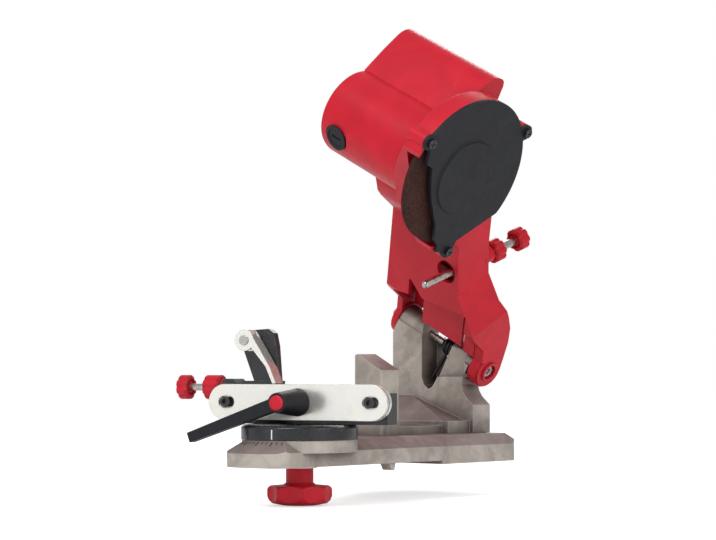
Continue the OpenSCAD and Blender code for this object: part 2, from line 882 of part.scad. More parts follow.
module motor_housing() {
    color(red) seat()
    difference() {
        union() {
            motor_shell();
            // seat of the rear bearing
            spindle() ring(motor_far + 3, motor_far + 11, 14, 11);
            // box
            difference() {
                spindle() levels(motor_far + 2, 0) box_outline(0);
                spindle() levels(motor_far + 4.5, 10) difference() {
                    box_outline(housing_wall);
                    circle(r = motor_r);
                }
                spindle() rod_between(-200, 50, motor_r - 0.5);
                near_zone();
            }
            // bosses for the arm's screws
            intersection() {
                arm_screw_places() rod_between(-16, 4, 4);
                arm_section() levels(-200, 200) translate([-spindle_back, spindle_up]) difference() {
                    circle(r = motor_r - 0.5);
                    circle(r = motor_r - 7);
                }
            }
        }
        // brush openings
        brush_place() {
            translate([0, 0, 18]) cylinder(r = 8.1, h = 15);
            translate([0, 0, 31.2]) cylinder(r = 10.4, h = 4);
        }
        arm_screw_places() rod_between(-46, 0.1, 2);
        // recesses and holes of the long bolts
        bolt_places() {
            rod_between(motor_far - 1, motor_far + 2.6, 3);
            rod_between(motor_far - 1, motor_far + 8, 1.65);
        }
        // window for the switch in the rear of the box
        switch_place() {
            translate([-8, -10.2, -13.7]) cube([20, 20.4, 27.4]);
            translate([0.55, -11.65, -15.15]) cube([5, 23.3, 30.3]);
        }
        // hole for the cord gland
        gland_place() translate([0, 0, -8]) cylinder(d = 12, h = 20);
    }
}

// half-plane past a chord, seen along the spindle
module past_chord(direction, reach) {
    rotate(direction) translate([reach, -150]) square([200, 300]);
}

// solid of the guard's back, grown by a margin
module flange_body(margin) {
    rotate_extrude() polygon([
        [0, rim_front], [flange_r + margin, rim_front], [flange_r + margin, -8 - margin],
        [flange_r - 1 + margin, -10 - margin], [40 + margin, -22 - margin],
        [motor_r + margin, part_level - margin], [0, part_level - margin]
    ]);
}

// room for the wheel inside the rim
module wheel_room() {
    rod_between(floor_front, rim_front + 1, flange_r - 3);
}

module guard_screw_places() {
    for (p = [lug_a, lug_b, lug_c]) spindle() translate([p[0], p[1], 0]) children();
}

module wheel_housing() {
    color(red) seat()
    difference() {
        union() {
            difference() {
                spindle() flange_body(0);
                spindle() wheel_room();
                // hollow behind the floor
                spindle() rotate_extrude() polygon([
                    [18, -10], [51, -10], [38, -19], [motor_r - housing_wall, -25.5], [motor_r - housing_wall, -40],
                    [0, -40], [0, -23], [18, -23]
                ]);
                // the wheel is open at the working side, and the heel is flat
                spindle() levels(-40, 20) past_chord(open_dir, open_reach);
                spindle() levels(-40, 20) past_chord(heel_dir, heel_reach);
            }
            // walls behind both flats
            intersection() {
                spindle() difference() {
                    flange_body(0);
                    wheel_room();
                }
                union() {
                    spindle() levels(-27, floor_front) intersection() {
                        past_chord(open_dir, open_reach - 3);
                        rotate(open_dir) translate([0, -80]) square([open_reach, 160]);
                    }
                    spindle() levels(-27, rim_front) intersection() {
                        past_chord(heel_dir, heel_reach - 3);
                        rotate(heel_dir) translate([0, -80]) square([heel_reach, 160]);
                        rotate(open_dir) translate([-200, -100]) square([200 + open_reach, 200]);
                    }
                }
            }
            // bosses for the guard screws
            guard_screw_places() rod_between(floor_front - 3, rim_front, lug_r);
            // bosses for the long bolts
            bolt_places() rod_between(part_level, floor_front - 2, 4.2);
            // near end of the box
            intersection() {
                near_zone();
                difference() {
                    spindle() levels(-60, -16) box_outline(0);
                    spindle() levels(-70, -18.5) box_outline(housing_wall);
                    spindle() rod_between(-60, -9, 44);
                }
            }
            intersection() {
                near_zone();
                spindle() levels(-45, -20) difference() {
                    intersection() {
                        box_outline(0);
                        circle(r = 46);
                    }
                    circle(r = motor_r);
                    box_outline(housing_wall);
                }
            }
        }
        // bearing seat and shaft hole
        spindle() rod_between(-24, -13, 14);
        spindle() rod_between(-24, 0, 6.6);
        bolt_places() rod_between(-40, -12.5, 1.6);
        // the screw bosses stay clear of the wheel
        spindle() rod_between(floor_front, rim_front + 1, wheel_r + 1);
        // pilot holes for the guard screws
        guard_screw_places() rod_between(-6, 20, 1.8);
    }
}

// four long bolts hold the two housings together
bolt_reach = 27;
module bolt_places() {
    for (a = [0 : 90 : 270]) spindle() rotate(a) translate([bolt_reach, 0, 0]) children();
}

module housing_screws() {
    color(steel) seat()
    bolt_places() {
        rod_between(motor_far + 2.5, -13, 1.6);
        difference() {
            rod_between(motor_far + 0.4, motor_far + 2.6, 2.9);
            translate([0, 0, motor_far]) cube([5, 0.9, 2], center = true);
        }
    }
}

guard_size = flange_r / 57.5;
module guard_outline() {
    union() {
        difference() {
            circle(r = flange_r);
            scale(guard_size) polygon([
                [-48.7, 16.8], [-46.5, 9.6], [-45.4, 6], [-38.9, 4], [-35, -4], [-30, -13], [-26, -19], [-17.1, -29.8],
                [-10.5, -37.1], [-4.8, -48.4], [1.7, -53.5], [2, -80], [-90, -80], [-90, 16.8]
            ]);
            past_chord(heel_dir, heel_reach);
        }
        for (p = [lug_a, lug_b, lug_c]) translate(p) circle(r = lug_r);
        polygon([
            guard_size * [1.7, -53.5], guard_size * [-4.8, -48.4], guard_size * [20, -46], guard_size * [19, -52], lug_c
        ]);
        polygon([guard_size * [46, 30], lug_b + [1.5, -5.2], lug_b + [-4, 4.6], guard_size * [40, 41]]);
    }
}

module guard_cover() {
    color(black) seat()
    difference() {
        union() {
            spindle() levels(rim_front, rim_front + 2.6) guard_outline();
            // raised disc over the nut
            spindle() rotate_extrude() polygon([
                [0, rim_front + 2.5], [27.5, rim_front + 2.5], [26.5, rim_front + 3.9], [0, rim_front + 4.1]
            ]);
        }
        spindle() rod_between(0, rim_front + 2.1, 24.5);
        guard_screw_places() rod_between(0, 20, 2.1);
    }
}

module guard_screws() {
    color(black) seat()
    guard_screw_places() {
        rod_between(-5, rim_front + 2.7, 1.8);
        difference() {
            rod_between(rim_front + 2.6, rim_front + 5, 3.2);
            translate([0, 0, rim_front + 5]) cube([5.4, 1.1, 2], center = true);
            translate([0, 0, rim_front + 5]) cube([1.1, 5.4, 2], center = true);
        }
    }
}

// ---------- spindle ----------

module grinding_wheel() {
    color([0.28, 0.15, 0.13]) seat()
    spindle() difference() {
        rotate_extrude() polygon([
            [0, -wheel_thickness / 2], [wheel_r - 0.6, -wheel_thickness / 2], [wheel_r, -wheel_thickness / 2 + 0.6],
            [wheel_r, wheel_thickness / 2 - 0.6], [wheel_r - 0.6, wheel_thickness / 2], [0, wheel_thickness / 2]
        ]);
        rod_between(-10, 10, wheel_bore / 2);
    }
}

module inner_flange() {
    color(zinc) seat()
    spindle() difference() {
        union() {
            rod_between(-wheel_thickness / 2 - 3.6, -wheel_thickness / 2, 20);
            rod_between(-wheel_thickness / 2 - 1, wheel_thickness / 2 - 0.3, wheel_bore / 2 - 0.02);
        }
        rod_between(-10, 10, 6);
    }
}

module outer_flange() {
    color(zinc) seat()
    spindle() ring(wheel_thickness / 2, wheel_thickness / 2 + 1.6, 20, 6);
}

module spindle_nut() {
    color(steel) seat()
    spindle() difference() {
        translate([0, 0, wheel_thickness / 2 + 1.6]) cylinder(r = 10.9, h = 3.2, $fn = 6);
        rod_between(0, 20, 6);
    }
}

module rotor_shaft() {
    color(steel) seat()
    spindle() union() {
        rod_between(-24, wheel_thickness / 2 + 5, 6);
        rod_between(-95.6, -23.9, 5);
        rod_between(-102.7, -95.5, 4);
    }
}

module armature() {
    color([0.45, 0.42, 0.4]) seat()
    spindle() difference() {
        rod_between(-72, -44, 16);
        rod_between(-80, -40, 5);
        for (i = [0 : 11]) rotate(i * 30) translate([14.2, 0, 0]) rod_between(-80, -40, 1.3);
    }
}

module commutator() {
    color([0.72, 0.45, 0.25]) seat()
    spindle() ring(-94, -78, 10.5, 5);
}

module cooling_fan() {
    color(black) seat()
    spindle() difference() {
        union() {
            rod_between(-29, -27, 22);
            rod_between(-38, -27, 8);
            for (i = [0 : 8]) rotate(i * 40) translate([7, -0.8, -37]) cube([14.5, 1.6, 9]);
        }
        rod_between(-50, -20, 5);
    }
}

module front_bearing() {
    color(zinc) seat()
    spindle() ring(-21, -13, 14, 6 + 0.02);
}

module rear_bearing() {
    color(zinc) seat()
    spindle() ring(-102.9, -95.9, 11, 4 + 0.02);
}

module stator_core() {
    color([0.5, 0.5, 0.52]) seat()
    spindle() difference() {
        rod_between(-74, -42, motor_r - housing_wall);
        rod_between(-80, -38, 16.6);
        for (a = [0, 180]) rotate(a) for (s = [-1, 1])
            translate([s * 12.5, 20.5, -58]) cube([5, 6.2, 40], center = true);
        for (a = [0 : 90 : 270]) rotate(a) translate([bolt_reach, 0, 0]) rod_between(-80, -38, 2.4);
        for (a = [0 : 90 : 270]) rotate(a) translate([bolt_reach, -2.4, -80]) cube([6, 4.8, 42]);
    }
}

module stator_coils() {
    color([0.75, 0.4, 0.22]) seat()
    spindle() for (a = [0, 180]) rotate(a) intersection() {
        difference() {
            translate([-14.6, 17.8, -77.5]) cube([29.2, 5.4, 39]);
            translate([-10.4, 10, -74.2]) cube([20.8, 20, 32.4]);
        }
        rod_between(-80, -38, motor_r - housing_wall - 0.5);
    }
}

module brush_holders() {
    color([0.8, 0.68, 0.38]) seat()
    brush_place() difference() {
        union() {
            translate([0, 0, 12]) cylinder(r = 6, h = 12.5);
            translate([0, 0, 20]) cylinder(r = 8, h = 4.5);
        }
        translate([-3.2, -3.2, 8]) cube([6.4, 6.4, 20]);
    }
}

module carbon_brushes() {
    color([0.15, 0.15, 0.15]) seat()
    brush_place() intersection() {
        translate([-3.1, -3.1, 9]) cube([6.2, 6.2, 13]);
        translate([0, 0, 10.8]) cylinder(r = 10, h = 20);
    }
}

module brush_caps() {
    color(black) seat()
    brush_place() difference() {
        union() {
            translate([0, 0, 24.6]) cylinder(r = 8, h = 7);
            translate([0, 0, 31.25]) cylinder(r = 9.6, h = 1.6);
        }
        translate([0, 0, 32.1]) cylinder(r = 7.4, h = 4);
        translate([-4.2, -0.9, 30.9]) cube([8.4, 1.8, 4]);
    }
}

// ---------- electrics ----------

// the rocker's axis in the rear of the box, with x out of the box
switch_level = -62.3;
module switch_place() {
    spindle() translate([33, 43, switch_level]) children();
}

module rocker_pin(r, length) {
    rotate([90, 0, 0]) cylinder(r = r, h = length, center = true);
}

module switch_body() {
    color(black) seat()
    switch_place() difference() {
        union() {
            translate([-13, -9.9, -13.4]) cube([14, 19.8, 26.8]);
            translate([0.6, -11.6, -15.1]) cube([1.6, 23.2, 30.2]);
        }
        translate([-5, -7, -10.7]) cube([20, 14, 21.4]);
        rocker_pin(1.2 + fit, 15.6);
    }
}

module switch_rocker() {
    color(red) seat()
    switch_place() rotate([0, 3, 0]) union() {
        translate([-1, -6.6, -10]) cube([3.6, 13.2, 20]);
        translate([-3, -2, -2.5]) cube([3, 4, 5]);
        rocker_pin(1.2, 15.2);
    }
}

module cord_gland() {
    color(black) seat()
    gland_place() difference() {
        union() {
            rod_between(-6.5, 9, 5.9);
            rod_between(0.3, 2.2, 7.8);
            rod_between(-6.5, -3.7, 7.2);
        }
        rod_between(-20, 20, 3.6);
    }
}

base_casting();
base_screws();
column_casting();
pivot_pin();
pivot_nut();
torsion_spring();
spring_bush();
turntable();
turntable_stud();
turntable_washer();
turntable_knob();
vise_body();
body_screws();
rear_plate();
front_plate();
guide_screws();
clamp_stud();
clamp_nut();
clamp_lever();
lever_cap();
stop_screw();
stop_knob();
stop_lock_knob();
stop_carriage();
pawl();
pawl_pin();
arm_housing();
arm_screws();
depth_bush();
depth_screw();
depth_knob();
depth_lock_knob();
motor_housing();
wheel_housing();
housing_screws();
guard_cover();
guard_screws();
grinding_wheel();
inner_flange();
outer_flange();
spindle_nut();
rotor_shaft();
armature();
commutator();
cooling_fan();
front_bearing();
rear_bearing();
stator_core();
stator_coils();
brush_holders();
carbon_brushes();
brush_caps();
switch_body();
switch_rocker();
cord_gland();
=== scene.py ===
import json
import math

import bmesh
import bpy
from mathutils import Matrix, Vector


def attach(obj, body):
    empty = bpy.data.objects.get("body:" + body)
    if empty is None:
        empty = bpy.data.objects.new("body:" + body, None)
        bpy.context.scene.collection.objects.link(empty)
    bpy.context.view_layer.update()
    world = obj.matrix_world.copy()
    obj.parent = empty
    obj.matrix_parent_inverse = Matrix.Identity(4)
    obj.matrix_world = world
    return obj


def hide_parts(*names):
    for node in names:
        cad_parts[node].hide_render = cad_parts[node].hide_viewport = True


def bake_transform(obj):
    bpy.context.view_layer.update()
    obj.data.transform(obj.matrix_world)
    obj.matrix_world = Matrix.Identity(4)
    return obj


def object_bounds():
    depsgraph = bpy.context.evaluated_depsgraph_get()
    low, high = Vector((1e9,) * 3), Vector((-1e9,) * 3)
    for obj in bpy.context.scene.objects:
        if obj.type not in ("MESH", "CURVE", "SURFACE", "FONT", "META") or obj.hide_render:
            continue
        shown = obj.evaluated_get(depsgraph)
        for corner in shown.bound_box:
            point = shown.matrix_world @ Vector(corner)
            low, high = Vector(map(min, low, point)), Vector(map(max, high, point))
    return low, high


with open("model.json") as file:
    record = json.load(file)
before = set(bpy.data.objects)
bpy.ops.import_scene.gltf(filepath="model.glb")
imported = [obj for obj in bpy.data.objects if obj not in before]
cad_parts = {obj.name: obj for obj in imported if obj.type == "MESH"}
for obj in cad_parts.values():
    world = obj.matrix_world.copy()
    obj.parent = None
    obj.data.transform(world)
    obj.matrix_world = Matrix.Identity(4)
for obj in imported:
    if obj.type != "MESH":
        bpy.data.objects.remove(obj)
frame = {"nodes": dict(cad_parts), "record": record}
cad_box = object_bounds()

NODES = frame["nodes"]
BODIES = frame["record"]["behaviour"]["bodies"]
BODY_OF = {node: body for body, nodes in BODIES.items() for node in nodes}
SLOT_OF = {s["node"]: s["material_slot"] for s in frame["record"]["subparts"]}
MM = 0.001

# ---------------------------------------------------------------- places, in the row frame
TILT = math.radians(28)  # the head's swing plane leans over by this much
VISE_TURN = math.radians(13)  # the turntable's turn at rest
VISE_AXIS = Matrix.Translation((-0.140, -0.0255, 0))
VISE = VISE_AXIS @ Matrix.Rotation(VISE_TURN, 4, "Z")
PIVOT = Vector((0.070, -0.030054, 0.066165))
HEAD = Matrix.Translation(PIVOT) @ Matrix.Rotation(TILT, 4, "X")
# direction of the pivot pin and of the motor's shaft, towards the wheel
SHAFT = Vector((0, -math.cos(TILT), -math.sin(TILT)))


def at(place, x, y, z):
    """A point given in millimetres in one of the places above, in the row frame."""
    return place @ Vector((x * MM, y * MM, z * MM))


# ---------------------------------------------------------------- camera, fitted to the photo
CAMERA_EYE = Vector((-1.359579, -1.082387, 0.071655))
CAMERA_ROUND = math.radians(50.5)  # from the row frame's y axis towards its x axis
CAMERA_DOWN = math.radians(-2.28)  # below 0 looks up
FOCAL_PX = 2360
PHOTO_WIDTH_PX = 716
SENSOR_MM = 36


def make_camera():
    right = Vector((math.cos(CAMERA_ROUND), -math.sin(CAMERA_ROUND), 0))
    away = Vector((math.sin(CAMERA_ROUND), math.cos(CAMERA_ROUND), 0))
    forward = away * math.cos(CAMERA_DOWN) - Vector((0, 0, 1)) * math.sin(CAMERA_DOWN)
    up = right.cross(forward)
    data = bpy.data.cameras.new("camera")
    data.sensor_width = SENSOR_MM
    data.lens = FOCAL_PX / PHOTO_WIDTH_PX * SENSOR_MM
    data.clip_start, data.clip_end = 0.05, 20
    cam = bpy.data.objects.new("camera", data)
    turn = Matrix((right, up, -forward)).transposed().to_4x4()
    cam.matrix_world = Matrix.Translation(CAMERA_EYE) @ turn
    bpy.context.scene.collection.objects.link(cam)
    bpy.context.scene.camera = cam


make_camera()

# ---------------------------------------------------------------- materials
# sockets of the colour mix node, which has the same names for several kinds of data
MIX_FACTOR, MIX_A, MIX_B, MIX_RESULT = 0, 6, 7, 2
EDGE_SAMPLES = 4


def is_socket(value):
    return isinstance(value, bpy.types.NodeSocket)


class Tree:
    """A short way to write node trees. A value is a plain one or another node's output."""

    def __init__(self, name):
        self.material = bpy.data.materials.new(name)
        self.material.use_nodes = True
        self.nodes = self.material.node_tree.nodes
        self.links = self.material.node_tree.links
        self.nodes.clear()
        self.coords = self.add("ShaderNodeTexCoord").outputs["Object"]

    def feed(self, socket, value):
        if is_socket(value):
            self.links.new(value, socket)
        else:
            socket.default_value = value

    def add(self, kind, inputs=(), **settings):
        node = self.nodes.new(kind)
        for key, value in settings.items():
            setattr(node, key, value)
        for key, value in dict(inputs).items():
            self.feed(node.inputs[key], value)
        return node

    def noise(self, scale, detail=3.0, rough=0.55, distort=0.0, coords=None):
        n = self.add("ShaderNodeTexNoise", {
            "Vector": coords or self.coords, "Scale": scale, "Detail": detail,
            "Roughness": rough, "Distortion": distort})
        return n.outputs["Fac"]

    def stretch(self, x, y, z):
        n = self.add("ShaderNodeMapping", {"Vector": self.coords, "Scale": (x, y, z)})
        return n.outputs["Vector"]

    def ramp(self, fac, low, high, a=0.0, b=1.0):
        """Goes from a to b while the factor goes from low to high."""
        n = self.add("ShaderNodeMapRange", {
            "Value": fac, "From Min": low, "From Max": high, "To Min": a, "To Max": b})
        n.clamp = True
        return n.outputs["Result"]

    def math(self, op, a, b):
        n = self.add("ShaderNodeMath", operation=op)
        self.feed(n.inputs[0], a)
        self.feed(n.inputs[1], b)
        return n.outputs[0]

    def mix(self, fac, a, b):
        """Colour a where the factor is 0, colour b where it is 1."""
        n = self.add("ShaderNodeMix", data_type="RGBA")
        self.feed(n.inputs[MIX_FACTOR], fac)
        for key, color in ((MIX_A, a), (MIX_B, b)):
            self.feed(n.inputs[key], color if is_socket(color) else (*color, 1))
        return n.outputs[MIX_RESULT]

    def edges(self, radius, low=0.004, high=0.09):
        """About 1 on sharp edges and 0 on faces, and the rounded normal."""
        bevel = self.add("ShaderNodeBevel", {"Radius": radius}, samples=EDGE_SAMPLES)
        plain = self.add("ShaderNodeNewGeometry").outputs["Normal"]
        dot = self.add(
            "ShaderNodeVectorMath", {0: bevel.outputs[0], 1: plain}, operation="DOT_PRODUCT")
        mask = self.ramp(self.math("SUBTRACT", 1.0, dot.outputs["Value"]), low, high)
        return mask, bevel.outputs[0]

    def corners(self, distance, amount):
        """Painted shade: the amount in tight corners, where ambient occlusion finds shade, and 0
        on open faces.
        """
        ao = self.add("ShaderNodeAmbientOcclusion", {"Distance": distance}, samples=EDGE_SAMPLES)
        is_open = self.ramp(ao.outputs["AO"], 0.25, 0.95)
        return self.math("MULTIPLY", self.math("SUBTRACT", 1.0, is_open), amount)

    def upward(self):
        """1 where the surface faces up."""
        normal = self.add("ShaderNodeNewGeometry").outputs["Normal"]
        z = self.add("ShaderNodeSeparateXYZ", {"Vector": normal}).outputs["Z"]
        return self.ramp(z, 0.35, 0.9)

    def bump(self, height, strength, distance, normal=None):
        inputs = {"Height": height, "Strength": strength, "Distance": distance}
        if normal is not None:
            inputs["Normal"] = normal
        return self.add("ShaderNodeBump", inputs).outputs["Normal"]

    def finish(self, color, rough, metallic=0.0, normal=None, **extra):
        inputs = {"Base Color": color, "Roughness": rough, "Metallic": metallic}
        if normal is not None:
            inputs["Normal"] = normal
        inputs.update({k.replace("_", " "): v for k, v in extra.items()})
        shader = self.add("ShaderNodeBsdfPrincipled", inputs)
        out = self.add("ShaderNodeOutputMaterial")
        self.links.new(shader.outputs[0], out.inputs[0])
        return self.material


def shade(color, k):
    return tuple(min(1.0, c * k) for c in color)


def moulded(name, color, worn, rough=0.4, grain=0.12):
    """Moulded plastic: spark-eroded grain, slow colour drift, rubbed edges, painted shade in
    corners.
    """
    t = Tree(name)
    rubbed, soft = t.edges(0.0006)
    cloud = t.noise(38, 3, 0.5, 0.6)
    fine = t.noise(2600, 2, 0.6)
    smear = t.noise(150, 4, 0.65, 1.2, t.stretch(1, 1, 0.35))
    c = t.mix(t.ramp(cloud, 0.35, 0.7), shade(color, 0.9), shade(color, 1.07))
    # painted shade: tight corners darken towards a dim copy of the colour
    c = t.mix(t.corners(0.006, 0.45), c, shade(color, 0.38))
    c = t.mix(t.math("MULTIPLY", rubbed, t.ramp(smear, 0.4, 0.62, 0.0, 0.5)), c, worn)
    smeared = t.ramp(smear, 0.3, 0.75, rough - 0.06, rough + 0.1)
    r = t.math("ADD", smeared, t.ramp(fine, 0.3, 0.7, -0.03, 0.03))
    n = t.bump(fine, grain, 0.00012, soft)
    n = t.bump(cloud, 0.05, 0.0015, n)
    return t.finish(c, r, 0.0, n, Specular_IOR_Level=0.26)


def cast_metal(name):
    """Tumbled casting: mottled skin, sand grain, rubbed edges, painted brown shade on the faces
    that look up, painted shade in corners.
    """
    light, dark, painted_top_shade = (0.57, 0.52, 0.46), (0.37, 0.33, 0.29), (0.235, 0.165, 0.160)
    corner_shade_color, bare = (0.060, 0.034, 0.034), (0.66, 0.62, 0.57)
    t = Tree(name)
    rubbed, soft = t.edges(0.0011, 0.003, 0.07)
    cloud = t.noise(46, 5, 0.62, 0.8)
    patch = t.noise(190, 4, 0.6, 0.5)
    sand = t.noise(1500, 3, 0.7)
    drag = t.noise(700, 3, 0.6, 0.3, t.stretch(0.1, 0.1, 1))
    c = t.mix(t.ramp(cloud, 0.38, 0.64), dark, light)
    c = t.mix(t.ramp(patch, 0.45, 0.75, 0.0, 0.4), c, shade(light, 1.12))
    c = t.mix(t.ramp(sand, 0.55, 0.75, 0.0, 0.28), c, shade(dark, 0.6))
    # painted shade: faces that look up are tinted dark brown
    c = t.mix(t.math("MULTIPLY", t.upward(), t.ramp(cloud, 0.2, 0.7, 1.0, 0.72)), c, painted_top_shade)
    # painted shade: tight corners are darkened to a deep brown
    c = t.mix(t.corners(0.02, 0.9), c, corner_shade_color)
    c = t.mix(t.math("MULTIPLY", rubbed, 0.55), c, bare)
    r = t.ramp(patch, 0.3, 0.7, 0.42, 0.62)
    n = t.bump(sand, 0.28, 0.0003, soft)
    n = t.bump(drag, 0.06, 0.0003, n)
    n = t.bump(patch, 0.22, 0.0008, n)
    return t.finish(c, r, 0.35, n)


def plated(name, color, rough=0.17):
    """Zinc plated sheet: fine brushing, a cloudy blue and straw tint, brighter edges."""
    blue, bright = (0.74, 0.80, 0.86), (0.93, 0.93, 0.92)
    straw = (color[0], color[1] * 0.96, color[2] * 0.87)
    t = Tree(name)
    rubbed, soft = t.edges(0.00035)
    cloud = t.noise(55, 4, 0.6, 1.6)
    lines = t.noise(2200, 2, 0.5, 0.0, t.stretch(1, 1, 0.04))
    fleck = t.noise(900, 4, 0.7)
    c = t.mix(t.ramp(cloud, 0.3, 0.5, 0.3, 0.0), color, blue)
    c = t.mix(t.ramp(cloud, 0.55, 0.8, 0.0, 0.35), c, straw)
    c = t.mix(t.ramp(fleck, 0.66, 0.82, 0.0, 0.25), c, shade(color, 0.65))
    c = t.mix(t.math("MULTIPLY", rubbed, 0.5), c, bright)
    brushed = t.ramp(lines, 0.25, 0.75, rough - 0.04, rough + 0.08)
    r = t.math("ADD", brushed, t.ramp(cloud, 0.4, 0.7, 0.0, 0.05))
    n = t.bump(lines, 0.05, 0.00008, soft)
    n = t.bump(fleck, 0.04, 0.0001, n)
    return t.finish(c, r, 0.72, n)


def painted(name, color, worn, rough):
    """Painted or blackened metal with bright worn edges and light scratches."""
    t = Tree(name)
    rubbed, soft = t.edges(0.0005)
    cloud = t.noise(70, 4, 0.6, 0.7)
    scratch = t.noise(900, 2, 0.5, 0.4, t.stretch(0.06, 1, 1))
    peel = t.noise(700, 2, 0.5)
    c = t.mix(t.ramp(cloud, 0.4, 0.7), color, shade(color, 1.6))
    c = t.mix(t.ramp(scratch, 0.66, 0.74, 0.0, 0.35), c, shade(worn, 0.6))
    c = t.mix(t.math("MULTIPLY", rubbed, t.ramp(cloud, 0.3, 0.6, 0.2, 0.7)), c, worn)
    r = t.ramp(cloud, 0.3, 0.7, rough - 0.07, rough + 0.1)
    n = t.bump(peel, 0.1, 0.0002, soft)
    return t.finish(c, r, 0.1, n, Coat_Weight=0.25, Coat_Roughness=0.2)


def turned(name, color, rough=0.25, metallic=1.0):
    """Turned or rolled metal: fine rings, smudges and brighter edges."""
    bright = (0.9, 0.9, 0.88)
    t = Tree(name)
    rubbed, soft = t.edges(0.0003)
    rings = t.noise(3000, 1, 0.5, 0.0, t.stretch(1, 0.2, 1))
    cloud = t.noise(160, 4, 0.65, 0.6)
    c = t.mix(t.ramp(cloud, 0.35, 0.7), shade(color, 0.7), shade(color, 1.12))
    c = t.mix(t.math("MULTIPLY", rubbed, 0.4), c, bright)
    r = t.ramp(cloud, 0.3, 0.7, rough - 0.05, rough + 0.12)
    return t.finish(c, r, metallic, t.bump(rings, 0.12, 0.0001, soft))


def abrasive(name):
    """Bonded grit: two browns of grain, dark pores, paler clouds and a few painted glints."""
    grain_dark, grain_light = (0.026, 0.009, 0.007), (0.060, 0.020, 0.015)
    hole, pale, painted_glint = (0.018, 0.007, 0.006), (0.10, 0.04, 0.03), (0.20, 0.14, 0.12)
    t = Tree(name)
    cells = {"Vector": t.coords, "Scale": 2300.0}
    grit = t.add("ShaderNodeTexVoronoi", cells).outputs["Distance"]
    cell = t.add("ShaderNodeTexVoronoi", cells).outputs["Color"]
    tone = t.add("ShaderNodeSeparateXYZ", {"Vector": cell}).outputs["X"]
    pore = t.noise(520, 4, 0.7)
    cloud = t.noise(60, 3, 0.6)
    c = t.mix(tone, grain_dark, grain_light)
    c = t.mix(t.ramp(pore, 0.58, 0.72, 0.0, 0.6), c, hole)
    c = t.mix(t.ramp(cloud, 0.4, 0.7, 0.0, 0.3), c, pale)
    # painted glints: the brightest grains get a light colour
    c = t.mix(t.ramp(tone, 0.96, 0.985, 0.0, 0.4), c, painted_glint)
    n = t.bump(grit, 0.3, 0.0002)
    n = t.bump(pore, 0.25, 0.0003, n)
    return t.finish(c, t.ramp(tone, 0.0, 1.0, 0.95, 0.7), 0.0, n, Specular_IOR_Level=0.25)


def laminated(name, color, sheet):
    """Stacked steel sheets of the given thickness in metres, along the shaft."""
    t = Tree(name)
    along = t.add(
        "ShaderNodeVectorMath", {0: t.coords, 1: tuple(SHAFT / sheet)}, operation="DOT_PRODUCT")
    line = t.math("PINGPONG", along.outputs["Value"], 0.5)
    cloud = t.noise(140, 3, 0.6)
    c = t.mix(t.ramp(line, 0.0, 0.12), shade(color, 0.3), color)
    c = t.mix(t.ramp(cloud, 0.4, 0.8, 0.0, 0.5), c, shade(color, 0.6))
    return t.finish(c, t.ramp(cloud, 0.3, 0.7, 0.4, 0.65), 0.8, t.bump(line, 0.3, 0.0002))


RED, RED_WORN = (0.645, 0.012, 0.030), (0.85, 0.16, 0.17)
BLACK, BLACK_WORN = (0.016, 0.017, 0.022), (0.09, 0.09, 0.11)
PAINT, PAINT_WORN = (0.012, 0.013, 0.016), (0.22, 0.22, 0.24)
CARBON, CARBON_WORN = (0.018, 0.018, 0.02), (0.08, 0.08, 0.085)
MATERIALS = {
    "cast_alloy": cast_metal("cast_aluminium"),
    "red_plastic": moulded("red_moulding", RED, RED_WORN, 0.36),
    "black_plastic": moulded("black_moulding", BLACK, BLACK_WORN, 0.5, grain=0.2),
    "black_metal": painted("black_paint", PAINT, PAINT_WORN, 0.24),
    "zinc_plate": plated("zinc_plating", (0.86, 0.845, 0.79)),
    "steel": turned("turned_steel", (0.62, 0.60, 0.57)),
    "spring_wire": turned("oiled_wire", (0.055, 0.056, 0.062), 0.3, 0.8),
    "abrasive": abrasive("bonded_grit"),
    "brass_part": turned("turned_brass", (0.72, 0.52, 0.22)),
    "copper_part": turned("copper_winding", (0.66, 0.27, 0.13), 0.35),
    "core_steel": laminated("stacked_sheets", (0.26, 0.26, 0.27), 0.0009),
    "carbon": moulded("carbon_block", CARBON, CARBON_WORN, 0.55),
}

for node, obj in NODES.items():
    obj.data.materials.clear()
    obj.data.materials.append(MATERIALS[SLOT_OF[node]])


# ---------------------------------------------------------------- pieces with rounded edges
def link(name, mesh, slot, body, *nodes):
    """Makes the piece: a mesh in the row frame that rides on its body, for the CAD nodes."""
    obj = bpy.data.objects.new(name, mesh)
    bpy.context.scene.collection.objects.link(obj)
    mesh.materials.clear()
    mesh.materials.append(MATERIALS[slot])
    if body:
        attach(obj, body)
    if nodes:
        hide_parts(*nodes)
    return obj


def baked(obj):
    """Applies the object's modifiers to its mesh."""
    graph = bpy.context.evaluated_depsgraph_get()
    mesh = bpy.data.meshes.new_from_object(obj.evaluated_get(graph), depsgraph=graph)
    obj.modifiers.clear()
    old, obj.data = obj.data, mesh
    bpy.data.meshes.remove(old)


SAME_POINT = 2e-6
FLAT_ANGLE = math.radians(0.6)
BEVEL_ANGLE = math.radians(30)
SHARP_ANGLE = math.radians(38)
BEVEL_SEGMENTS = 3


def rounded(mesh, width, name):
    """A copy of the mesh with flat faces joined up and real rounded edges."""
    bm = bmesh.new()
    bm.from_mesh(mesh)
    bmesh.ops.remove_doubles(bm, verts=bm.verts, dist=SAME_POINT)
    bmesh.ops.dissolve_limit(bm, angle_limit=FLAT_ANGLE, verts=bm.verts, edges=bm.edges)
    made = bpy.data.meshes.new(name)
    bm.to_mesh(made)
    bm.free()
    obj = bpy.data.objects.new(name, made)
    bpy.context.scene.collection.objects.link(obj)
    bevel = obj.modifiers.new("edges", "BEVEL")
    bevel.width = width
    bevel.segments = BEVEL_SEGMENTS
    bevel.limit_method = "ANGLE"
    bevel.angle_limit = BEVEL_ANGLE
    bevel.use_clamp_overlap = True
    bevel.miter_outer = "MITER_ARC"
    baked(obj)
    mesh = obj.data
    bpy.data.objects.remove(obj)
    mesh.shade_smooth()
    mesh.set_sharp_from_angle(angle=SHARP_ANGLE)
    return mesh


